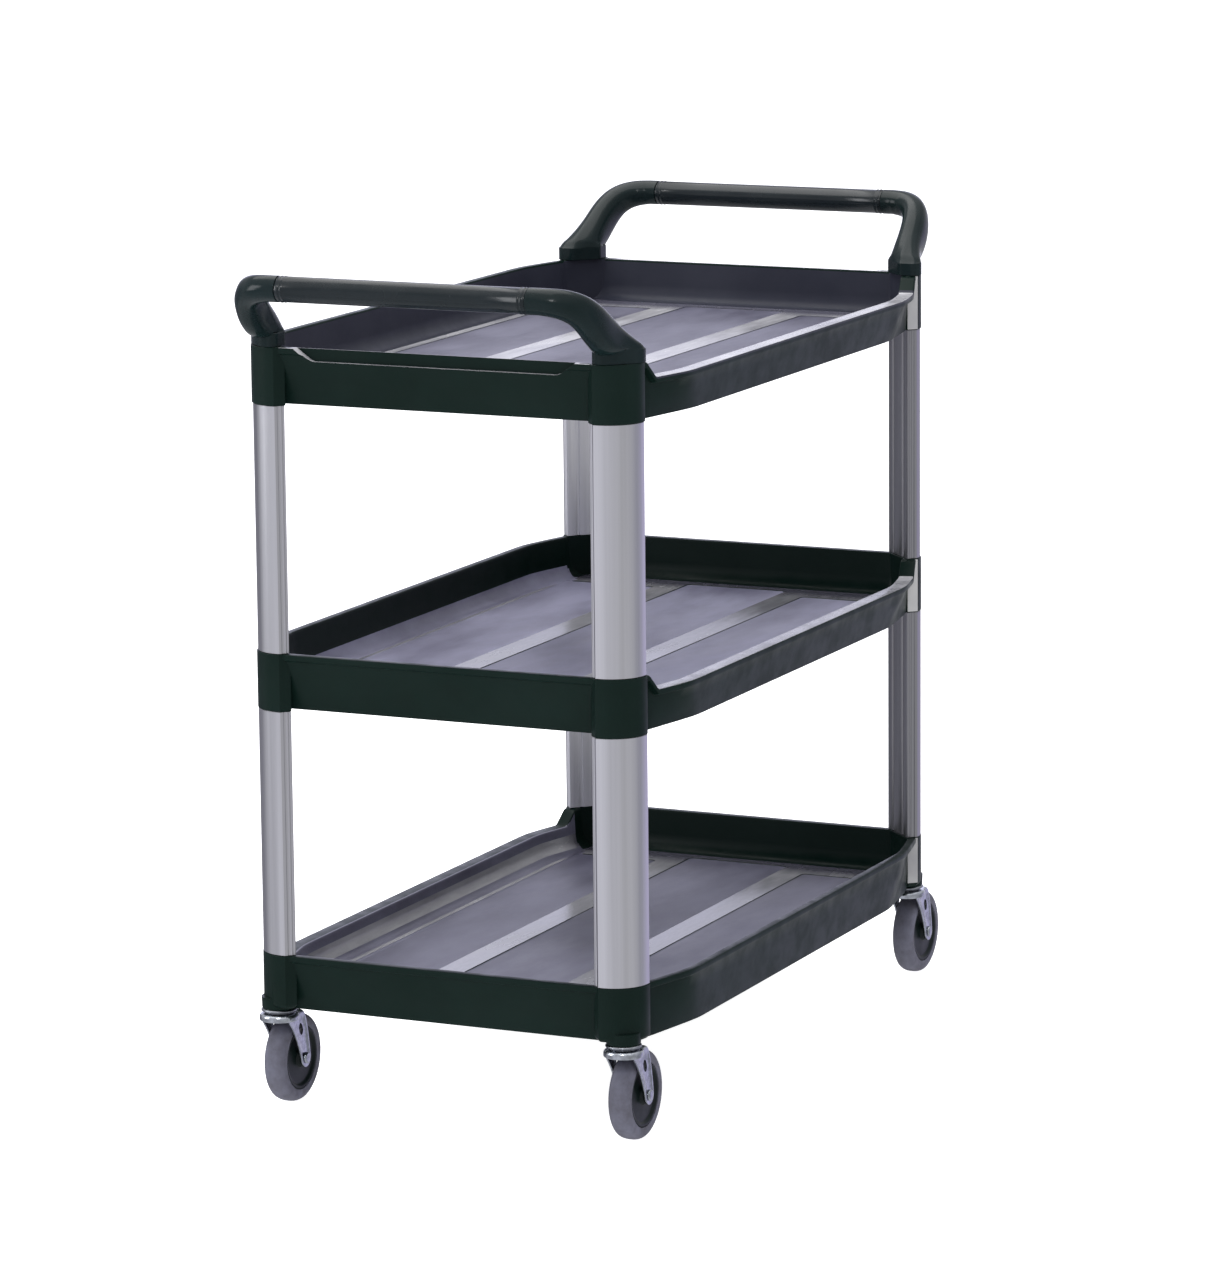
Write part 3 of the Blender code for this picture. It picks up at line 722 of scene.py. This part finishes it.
def tray(name):
    """One tray, carved from its loft and painted face by face."""
    base = SHELF_Z[name]
    obj = raw_object(name + "_moulding", tray_body(name))
    steps = [("UNION", corner_posts(name)), ("DIFFERENCE", panel_recesses(name))]
    if name == "top_shelf":
        steps.append(("DIFFERENCE", end_recesses(name)))
    if name == "bottom_shelf":
        boss = [(18.6, BOSS_Z), (19.1, BOSS_Z + 0.6), (19.4, BOSS_Z + 1.8), (19.8, base + FLOOR_H - 1.5)]
        bore = [(STEM_R + GAP, BOSS_Z - 5.0), (STEM_R + GAP, BOSS_Z + 42.0)]
        steps += [("UNION", at_casters(boss)), ("DIFFERENCE", at_casters(bore))]
    carve(obj, steps)
    finish_piece(obj, name,
                 [WALL_MAT, PANEL_MAT[name], PAINTED_SHEEN_STRIP_MAT, LIT_WALL_MAT, GLARE_FLANK_MAT, PAINTED_HIGHLIGHT_EDGE_MAT])
    for face in obj.data.polygons:
        face.material_index = tray_look(name, face)


for tray_name in SHELF_Z:
    tray(tray_name)


# ---------------------------------------------------------------- uprights
def upright(name, sx, sy, z0, z1, shrink):
    """Grooved D tube between two heights; shrink takes some off its section."""
    outer = post_outline(sx, sy, -shrink, True)
    chamfer = inset(outer, [0.35] * len(outer))
    inner = inset(outer, [2.4] * len(outer))
    bm = bmesh.new()
    add_loops(bm, [at_z(chamfer, z0), at_z(outer, z0 + 0.35), at_z(outer, z1 - 0.35), at_z(chamfer, z1),
                   at_z(inner, z1), at_z(inner, z0)], closed=True)
    obj = raw_object(name + "_profile", bm)
    finish_piece(obj, name, [ALUMINIUM_MAT[name.split("upright_")[1]]], sharp=28.0)


for corner_name, (csx, csy) in CORNERS.items():
    upright("upper_upright_" + corner_name, csx, csy,
            SHELF_Z["middle_shelf"] + BOSS_TOP + GAP, SHELF_Z["top_shelf"] - GAP, 0.8)
    upright("lower_upright_" + corner_name, csx, csy,
            SHELF_Z["bottom_shelf"] + BOSS_TOP + GAP, SHELF_Z["middle_shelf"] - GAP, 0.0)


# ---------------------------------------------------------------- handles
BAR_Z = HANDLE_TOP - BAR_R
FOOT_Z = SHELF_Z["top_shelf"] + BOSS_TOP + GAP
FOOT_X = 211.0
FOOT_Y = 418.0
SQUARENESS = 2.4
# One leg from its foot up to the bar: x, y, z, half width, half depth, share of the foot's section.
LEG = [(FOOT_X, FOOT_Y, FOOT_Z, 17.0, 17.0, 1.0), (FOOT_X, FOOT_Y, FOOT_Z + 14.5, 17.0, 17.0, 1.0),
       (211.0, 424.0, 888.5, 17.0, 19.5, 0.78), (210.6, 430.5, 893.0, 16.6, 21.0, 0.48),
       (210.0, 438.5, 898.6, 16.2, 21.6, 0.22), (209.2, 449.2, 906.0, 15.9, 21.8, 0.06),
       (207.6, 461.4, 916.0, 15.7, 21.2, 0.0), (204.4, 473.8, 926.4, 15.4, 19.8, 0.0),
       (199.0, 485.6, 935.2, 15.2, 18.0, 0.0), (190.2, 495.4, 941.2, 14.9, 16.4, 0.0),
       (178.0, 502.6, 944.6, 14.5, 15.0, 0.0), (163.0, BAR_Y, BAR_Z, BAR_R, BAR_R, 0.0),
       (GRIP_HALF + 0.8, BAR_Y, BAR_Z, BAR_R, BAR_R, 0.0), (GRIP_HALF, BAR_Y, BAR_Z, BAR_R, BAR_R, 0.0)]


def foot_outline(sx, sy):
    """Handle foot: the post section, deeper inward and cut back at the side nearer the tray end."""
    out, along, base = corner_frame(sx, sy)
    base = base - Vector((sx, sy))
    long_half = POST_W / 2 + 3.0
    end_half = POST_W / 2 - 1.0
    pts = []
    for half, side in ((long_half, -sx * sy), (end_half, sx * sy)):
        row = [(0.25, 13.8), (0.5, 12.4), (0.74, 9.6), (0.93, 5.6), (1.0, -2.0)]
        row = row + ([(0.98, -6.0), (0.66, -18.5)] if half > POST_W / 2 else [(0.97, -4.0), (0.5, -18.5)])
        pts.append([(half * f * side, d) for f, d in row])
    ring_pts = [(0.0, 14.3)] + pts[0] + list(reversed(pts[1]))
    return ccw([tuple(base + along * x + out * d) for x, d in fillet(ring_pts, 2.4, steps=3)])


def ray_to_outline(outline, cx, cy, dx, dy):
    """How far a ray from cx, cy goes before it leaves the outline."""
    best = 0.0
    for (ax, ay), (bx, by) in zip(outline, outline[1:] + outline[:1]):
        ex = bx - ax
        ey = by - ay
        det = dx * ey - dy * ex
        if abs(det) < 1e-9:
            continue
        t = ((ax - cx) * ey - (ay - cy) * ex) / det
        u = ((ax - cx) * dy - (ay - cy) * dx) / det
        if t > 0.0 and -1e-6 <= u <= 1.000001:
            best = max(best, t)
    return best


def refine(rows, parts):
    """More stations on a smooth curve through the given rows."""
    out = []
    for i in range(len(rows) - 1):
        p = [rows[j] for j in (max(0, i - 1), i, i + 1, min(len(rows) - 1, i + 2))]
        for s in range(parts):
            t = s / parts
            row = []
            for a, b, c, d in zip(*p):
                row.append(0.5 * (2 * b + (c - a) * t + (2 * a - 5 * b + 4 * c - d) * t * t
                                  + (3 * b - a - 3 * c + d) * t ** 3))
            out.append(tuple(row))
    return out + [rows[-1]]


def sweep(rows, sy, n=56):
    """Slightly squared section along a path, turned into the foot's section by each row's last value."""
    lift = Vector((0.0, -sy * 0.618, 0.786))
    loops = []
    count = len(rows)
    feet = {s: foot_outline(s, sy) for s in (-1, 1)}
    for i in range(count):
        x, y, z, wide, deep, share = rows[i]
        c = Vector((x, sy * y, z))
        a = rows[max(0, i - 1)]
        b = rows[min(count - 1, i + 1)]
        t = Vector((b[0] - a[0], sy * (b[1] - a[1]), b[2] - a[2]))
        if share > 0.9:
            t = Vector((0.0, 0.0, b[2] - a[2]))
        if t.length < 0.001:
            t = Vector((-1.0, 0.0, 0.0))
        t.normalize()
        up = (lift - t * lift.dot(t)).normalized()
        side = t.cross(up)
        loop = []
        for k in range(n):
            ang = 2 * math.pi * k / n + math.pi / n
            cs = math.cos(ang)
            sn = math.sin(ang)
            m = (abs(cs) ** SQUARENESS + abs(sn) ** SQUARENESS) ** (-1 / SQUARENESS)
            p = c + side * (wide * m * cs) + up * (deep * m * sn)
            if share > 0.0005:
                s = 1 if x > 0 else -1
                cx = FOOT_X * s
                cy = sy * FOOT_Y
                turn = Vector((sy if t.z > 0 else -sy, 0.0, 0.0))
                flat = turn * cs + Vector((0.0, -sy, 0.0)) * sn
                reach = ray_to_outline(feet[s], cx, cy, flat.x, flat.y)
                d = Vector((cx + flat.x * reach, cy + flat.y * reach, min(z, FOOT_Z + 18.0)))
                p = d * share + p * (1.0 - share)
            loop.append(tuple(p))
        loops.append(loop)
    return loops


def grip_rows():
    """Half a grip sleeve's profile, with two small ribs near its end; rows hold x along the bar, radius."""
    end = GRIP_HALF - GAP
    r = GRIP_R
    return [(end, CORE_R + GAP), (end, r - 1.0), (end - 0.4, r - 0.3), (end - 1.2, r), (end - 3.0, r),
            (end - 3.4, r + 0.4), (end - 4.2, r + 0.58), (end - 5.0, r + 0.4), (end - 5.4, r),
            (end - 7.4, r), (end - 7.8, r + 0.3), (end - 8.4, r + 0.45), (end - 9.0, r + 0.3),
            (end - 9.4, r)]


def handle(tag, sy):
    """A bow with a thinner core under its grip, and the grip sleeve round it."""
    foot = [LEG[0], LEG[0][:2] + (FOOT_Z + 7.0,) + LEG[0][3:], LEG[1][:2] + (FOOT_Z + 13.8,) + LEG[1][3:]]
    half = foot + refine(LEG[1:12], 4)[:-1] + LEG[11:]
    core = [(x, BAR_Y, BAR_Z, CORE_R, CORE_R, 0.0) for x in (GRIP_HALF, -GRIP_HALF)]
    other_half = [(-row[0],) + row[1:] for row in reversed(half)]
    bm = bmesh.new()
    add_loops(bm, sweep(half + core + other_half, sy))
    bow = raw_object("handle_" + tag + "_bow", bm)
    finish_piece(bow, "handle_" + tag, [BOW_MAT], sharp=38.0)

    ends = grip_rows()
    middle = [((GRIP_HALF - GAP) * f, GRIP_R) for f in (0.6, 0.2, -0.2, -0.6)]
    loops = []
    for x, r in ends + middle + [(-x, r) for x, r in reversed(ends)]:
        loop = sweep([(1.0, BAR_Y, BAR_Z, r, r, 0.0), (-1.0, BAR_Y, BAR_Z, r, r, 0.0)], sy)[0]
        loops.append([(x, p[1], p[2]) for p in loop])
    bm = bmesh.new()
    add_loops(bm, loops, closed=True)
    sleeve = raw_object("grip_sleeve_" + tag + "_cover", bm)
    finish_piece(sleeve, "grip_sleeve_" + tag, [GRIP_MAT], sharp=60.0)


handle("near", -1)
handle("far", 1)


# ---------------------------------------------------------------- casters
# The fork's leg above its rounded tip: height, then its front and back edge from the swivel's axis.
FORK_LEG = [(58.0, 16.6, 40.0), (66.0, 13.0, 38.6), (75.0, 8.4, 36.9), (84.0, 3.0, 35.0),
            (92.0, -3.0, 32.8), (99.0, -9.0, 30.5)]
TIP_R = 10.7
CHANNEL = 0.55


def fork_rows():
    """The bent sheet from a leg's tip to the crown: outer x, z, inner x, z, front and back edge."""
    w = FORK_HALF
    t = PLATE_T
    top = CROWN_TOP
    rows = []
    for deg in (14, 24, 36, 50, 64, 78, 90):
        a = math.radians(deg)
        z = WHEEL_R - TIP_R * math.cos(a)
        rows.append((w, z, w - t, z, TRAIL - TIP_R * math.sin(a), TRAIL + TIP_R * math.sin(a)))
    rows += [(w, z, w - t, z, y0, y1) for z, y0, y1 in FORK_LEG]
    rows += [(w, top - 6.0, w - t, top - 6.4, -12.0, 28.0),
             (w - 0.2, top - 3.6, w - t, top - 4.8, -13.4, 26.4),
             (w - 1.0, top - 1.8, w - t - 0.5, top - t - 1.2, -14.2, 25.2),
             (w - 2.4, top - 0.8, w - t - 1.6, top - t - 0.6, -14.8, 24.4),
             (w - 4.5, top - 0.4, w - t - 2.8, top - t - 0.4, -15.0, 24.0),
             (0.0, top - 0.4, 0.0, top - t - 0.4, -16.0, 23.6)]
    return rows


def fork_section(xo, zo, xi, zi, y0, y1):
    """One section, with rounded edges and, below the crown, a shallow channel in its outer face."""
    outer = Vector((xo, zo))
    inner = Vector((xi, zi))
    t = PLATE_T
    width = y1 - y0
    deep = CHANNEL * min(1.0, max(0.0, (width - 12.0) / 8.0)) if zo < CROWN_TOP - 8.0 else 0.0
    lip = min(3.0, width * 0.16)
    e = min(0.6, width * 0.1)
    across = [(0.5, y0), (0.12, y0 + e * 0.4), (0.0, y0 + e), (0.0, y0 + lip), (deep, y0 + lip * 1.35),
              (deep, y1 - lip * 1.35), (0.0, y1 - lip), (0.0, y1 - e), (0.12, y1 - e * 0.4), (0.5, y1),
              (t - 0.5, y1), (t, y1 - e), (t, y0 + e), (t - 0.5, y0)]
    loop = []
    for depth, y in across:
        q = outer.lerp(inner, depth / t)
        loop.append((q.x, y, q.y))
    return loop


def fork_holes():
    """Cutters for the axle holes, the oval hole in each leg and the bore for the stem."""
    bm = bmesh.new()
    hole = AXLE_R + GAP
    for cy, cz, ry, rz, lean in ((TRAIL, WHEEL_R, hole, hole, 0.0), (19.0, 87.0, 4.6, 7.2, 1.6)):
        pair = []
        for px in (-30.0, 30.0):
            row = []
            for k in range(36):
                a = 2 * math.pi * k / 36
                row.append((px, cy + ry * math.cos(a) - lean * math.sin(a), cz + rz * math.sin(a)))
            pair.append(row)
        add_loops(bm, pair)
    add_loops(bm, [circle(0, 0, 5.0 + GAP, CROWN_TOP - 8.0), circle(0, 0, 5.0 + GAP, CROWN_TOP + 4.0)])
    return bm


def fork_mesh():
    """Pressed fork: an inverted U of sheet with a rounded cup on its crown."""
    half = fork_rows()
    rows = half + [(-a, b, -c, d, e, f) for a, b, c, d, e, f in reversed(half[:-1])]
    bm = bmesh.new()
    add_loops(bm, [fork_section(*row) for row in rows])
    obj = raw_object("fork", bm)
    cup = [(15.0, CROWN_TOP - 3.6), (18.6, CROWN_TOP - 4.6), (20.2, CUP_Z + 0.6), (CUP_R - 1.8, CUP_Z),
           (CUP_R - 0.6, CUP_Z), (CUP_R, CUP_Z + 0.8), (CUP_R, CROWN_TOP - 3.4),
           (CUP_R - 1.4, CROWN_TOP - 1.0), (CUP_R - 3.6, CROWN_TOP), (4.0, CROWN_TOP), (4.0, CROWN_TOP - 3.0),
           (11.0, CROWN_TOP - 3.2)]
    carve(obj, [("UNION", lathe(fillet(cup, 0.9, steps=3), 64, closed=True)), ("DIFFERENCE", fork_holes())])
    obj.data.name = "fork_master"
    return obj


def put(bm, node, label, look, place, sharp=32.0):
    finish_piece(raw_object(node + label, bm), node, [look], place, sharp)


def swivel(tag, fork, place):
    """Stem with its raceway, ball ring and fork."""
    low = CROWN_TOP - PLATE_T - 1.0
    stem = [(7.0, low - 3.4), (8.5, low - 2.4), (8.5, low - GAP), (5.0, low - GAP), (5.0, CROWN_TOP + 2.4),
            (18.5, CROWN_TOP + 2.4), (20.3, CROWN_TOP + 3.0), (20.5, BOSS_Z - 1.6), (19.2, BOSS_Z - GAP),
            (STEM_R, BOSS_Z - GAP), (STEM_R, BOSS_Z + 36.0), (STEM_R - 1.5, BOSS_Z + 38.0)]
    stem_bm = lathe(fillet(stem, 0.6, closed=False, steps=3))
    put(stem_bm, "caster_stem_" + tag, "_race", RACE_MAT, place)
    ball = [(6.0, CROWN_TOP + GAP), (16.5, CROWN_TOP + GAP), (17.4, CROWN_TOP + 1.2),
            (16.5, CROWN_TOP + 2.1), (6.0, CROWN_TOP + 2.1)]
    ball_bm = lathe(fillet(ball, 0.5, steps=3), closed=True)
    put(ball_bm, "ball_ring_" + tag, "_ring", RACE_MAT, place)
    pressing = bpy.data.objects.new("caster_fork_" + tag + "_pressing", fork.data.copy())
    bpy.context.scene.collection.objects.link(pressing)
    finish_piece(pressing, "caster_fork_" + tag, [ZINC_MAT], place, 34.0)


def nut_mesh(x_face):
    """Hexagonal nut with chamfered corners and a bore, its inner face at -x_face."""
    rows = []
    for back, scale in ((4.0, 0.86), (3.7, 0.93), (3.2, 1.0), (0.4, 1.0), (0.0, 0.95)):
        r = NUT_R * scale
        hexagon = [(r * math.cos(math.pi * i / 3), r * math.sin(math.pi * i / 3)) for i in range(6)]
        rows.append([(-x_face - back, p[0], p[1]) for p in fillet(hexagon, 0.8, steps=3)])
    bore = AXLE_R + 0.25
    for back in (0.0, 4.0):
        hole = []
        for p in rows[0]:
            a = math.atan2(p[2], p[1])
            hole.append((-x_face - back, bore * math.cos(a), bore * math.sin(a)))
        rows.append(hole)
    bm = bmesh.new()
    add_loops(bm, rows, closed=True)
    return bm


def axle(tag, place):
    """Bolt with a rivet head on one side of the fork and a nut on the other."""
    out = FORK_HALF + GAP
    bolt = [(AXLE_R, -out - 4.6), (AXLE_R, out), (6.4, out), (6.4, out + 0.9), (5.2, out + 1.8),
            (2.0, out + 2.3)]
    bolt_bm = lathe(fillet(bolt, 0.7, closed=False, steps=3), 40, "X")
    put(bolt_bm, "axle_bolt_" + tag, "_rivet", ZINC_MAT, place)
    put(nut_mesh(out), "axle_nut_" + tag, "_hex", ZINC_MAT, place)


def wheel(tag, place):
    """Dished wheel centre and its tyre."""
    h = WHEEL_HALF
    bore = AXLE_R + GAP
    hub = [(bore, -h - 1.6), (9.5, -h - 1.6), (11.5, -h + 2.6), (20.0, -h + 3.0), (30.0, -h + 3.6),
           (33.5, -h + 1.0), (RIM_R, -h + 1.0)]
    hub = hub + [(r, -x) for r, x in reversed(hub)]
    hub_bm = lathe(fillet(hub, 1.4, steps=4), 72, "X", True)
    put(hub_bm, "wheel_hub_" + tag, "_centre", HUB_MAT, place)
    r = WHEEL_R
    i = RIM_R + GAP
    tyre = [(i, -h + 0.4), (r - 7.0, -h), (r - 2.4, -h + 2.2), (r, -h + 7.5)]
    tyre = tyre + [(q, -x) for q, x in reversed(tyre)]
    tyre_bm = lathe(fillet(tyre, [0.6, 3.0, 3.0, 4.0, 4.0, 3.0, 3.0, 0.6], steps=5), 96, "X", True)
    put(tyre_bm, "tyre_" + tag, "_tread", RUBBER_MAT, place, 50.0)


def casters():
    fork = fork_mesh()
    for tag, (sx, sy) in CORNERS.items():
        under_boss = Matrix.Translation(Vector((sx * CASTER_X, sy * CASTER_Y, 0.0)) * MM)
        at_axle = Matrix.Translation(Vector((sx * CASTER_X, sy * CASTER_Y + TRAIL, WHEEL_R)) * MM)
        swivel(tag, fork, under_boss)
        axle(tag, at_axle)
        wheel(tag, at_axle)
    bpy.data.objects.remove(fork)


casters()


# ---------------------------------------------------------------- stage, light, camera
def stage_floor():
    """Wide pale floor, bright enough in itself to show no shadow."""
    bm = bmesh.new()
    add_loops(bm, [circle(0, 0, 30000.0, -0.6, 96), circle(0, 0, 30000.0, 0.0, 96)])
    floor = raw_object("studio_floor", bm)
    m = Nodes("pale_floor", (0.93, 0.93, 0.93), 0.9, 0.0, 0.0)
    m.set("Base Color", m.mix(m.noise(3.0, 4.0), (0.78, 0.78, 0.78), (0.80, 0.80, 0.80)))
    m.bsdf.inputs["Emission Color"].default_value = (1.0, 1.0, 1.0, 1.0)
    m.bsdf.inputs["Emission Strength"].default_value = 0.93
    floor.data.materials.append(m.mat)
    floor.visible_glossy = False


stage_floor()


# Bright and dim directions of the studio: direction, inner and outer half angle in degrees, colour.
LOBES = [((0.0, 0.0, 1.0), 25.0, 60.0, (1.25, 1.25, 1.28)),
         ((0.76, 0.62, -0.1), 14.0, 34.0, (0.36, 0.36, 0.42)),
         ((0.41, 0.90, -0.18), 10.0, 24.0, (0.64, 0.60, 0.84)),
         ((-0.41, 0.90, 0.18), 14.0, 30.0, (1.22, 1.22, 1.52)),
         ((-0.90, 0.41, -0.18), 12.0, 34.0, (0.20, 0.20, 0.24)),
         ((0.90, -0.41, 0.0), 14.0, 34.0, (0.55, 0.55, 0.57)),
         ((-0.41, -0.90, -0.18), 16.0, 40.0, (0.80, 0.80, 0.86)),
         ((-0.82, -0.57, -0.10), 8.0, 26.0, (0.46, 0.46, 0.50))]
STUDIO_GREY = (0.62, 0.62, 0.66)


def studio_world():
    """White to the camera; for light and reflections, a soft studio with a few dim directions."""
    world = bpy.data.worlds.new("studio")
    bpy.context.scene.world = world
    world.use_nodes = True
    tree = world.node_tree
    tree.nodes.clear()
    new = tree.nodes.new
    link = tree.links.new
    coord = new("ShaderNodeTexCoord").outputs["Generated"]

    def lobe(direction, inner, outer):
        d = new("ShaderNodeVectorMath")
        d.operation = "DOT_PRODUCT"
        d.inputs[1].default_value = Vector(direction).normalized()
        link(coord, d.inputs[0])
        r = new("ShaderNodeMapRange")
        r.interpolation_type = "SMOOTHSTEP"
        r.inputs["From Min"].default_value = math.cos(math.radians(outer))
        r.inputs["From Max"].default_value = math.cos(math.radians(inner))
        link(d.outputs["Value"], r.inputs["Value"])
        return r.outputs["Result"]

    colour = None
    for direction, inner, outer, tone in LOBES:
        mix = new("ShaderNodeMix")
        mix.data_type = "RGBA"
        if colour is None:
            mix.inputs["A"].default_value = (*STUDIO_GREY, 1.0)
        else:
            link(colour, mix.inputs["A"])
        mix.inputs["B"].default_value = (*tone, 1.0)
        link(lobe(direction, inner, outer), mix.inputs["Factor"])
        colour = mix.outputs["Result"]
    room = new("ShaderNodeBackground")
    link(colour, room.inputs["Color"])
    room.inputs["Strength"].default_value = 1.0
    white = new("ShaderNodeBackground")
    white.inputs["Color"].default_value = (1.0, 1.0, 1.0, 1.0)
    white.inputs["Strength"].default_value = 1.05
    path = new("ShaderNodeLightPath")
    pick = new("ShaderNodeMixShader")
    link(path.outputs["Is Camera Ray"], pick.inputs["Fac"])
    link(room.outputs["Background"], pick.inputs[1])
    link(white.outputs["Background"], pick.inputs[2])
    out = new("ShaderNodeOutputWorld")
    link(pick.outputs["Shader"], out.inputs["Surface"])


studio_world()


def soft_light(name, place, target, size, power, colour):
    """Rectangular area light at a place, turned to a target."""
    light = bpy.data.lights.new(name, "AREA")
    light.shape = "RECTANGLE"
    light.size = size[0]
    light.size_y = size[1]
    light.energy = power
    light.color = colour
    obj = bpy.data.objects.new(name, light)
    bpy.context.scene.collection.objects.link(obj)
    obj.location = place
    obj.rotation_euler = (Vector(target) - Vector(place)).to_track_quat("-Z", "Y").to_euler()


soft_light("top_softbox", (-0.6, 0.3, 3.2), (0.0, 0.0, 0.4), (2.4, 3.0), 60.0, (1.0, 0.99, 0.98))
soft_light("key_softbox", (0.9, -3.4, 3.6), (0.0, 0.0, 0.8), (0.5, 0.5), 26.0, (1.0, 1.0, 1.0))
soft_light("left_softbox", (-3.0, -2.2, 1.8), (0.0, 0.0, 0.5), (1.2, 2.0), 45.0, (0.96, 0.97, 1.0))

camera_data = bpy.data.cameras.new("camera")
camera = bpy.data.objects.new("camera", camera_data)
bpy.context.scene.collection.objects.link(camera)
camera.location = (2.83255, -6.14538, 1.74828)
camera.rotation_euler = [math.radians(a) for a in (79.455, 0.5567, 24.6124)]
camera_data.sensor_fit = "HORIZONTAL"
camera_data.sensor_width = 36.0
camera_data.lens = 175.92
camera_data.shift_x = -0.0028
camera_data.shift_y = -0.0074
camera_data.clip_end = 200.0
bpy.context.scene.camera = camera
bpy.context.scene.view_settings.view_transform = "Standard"
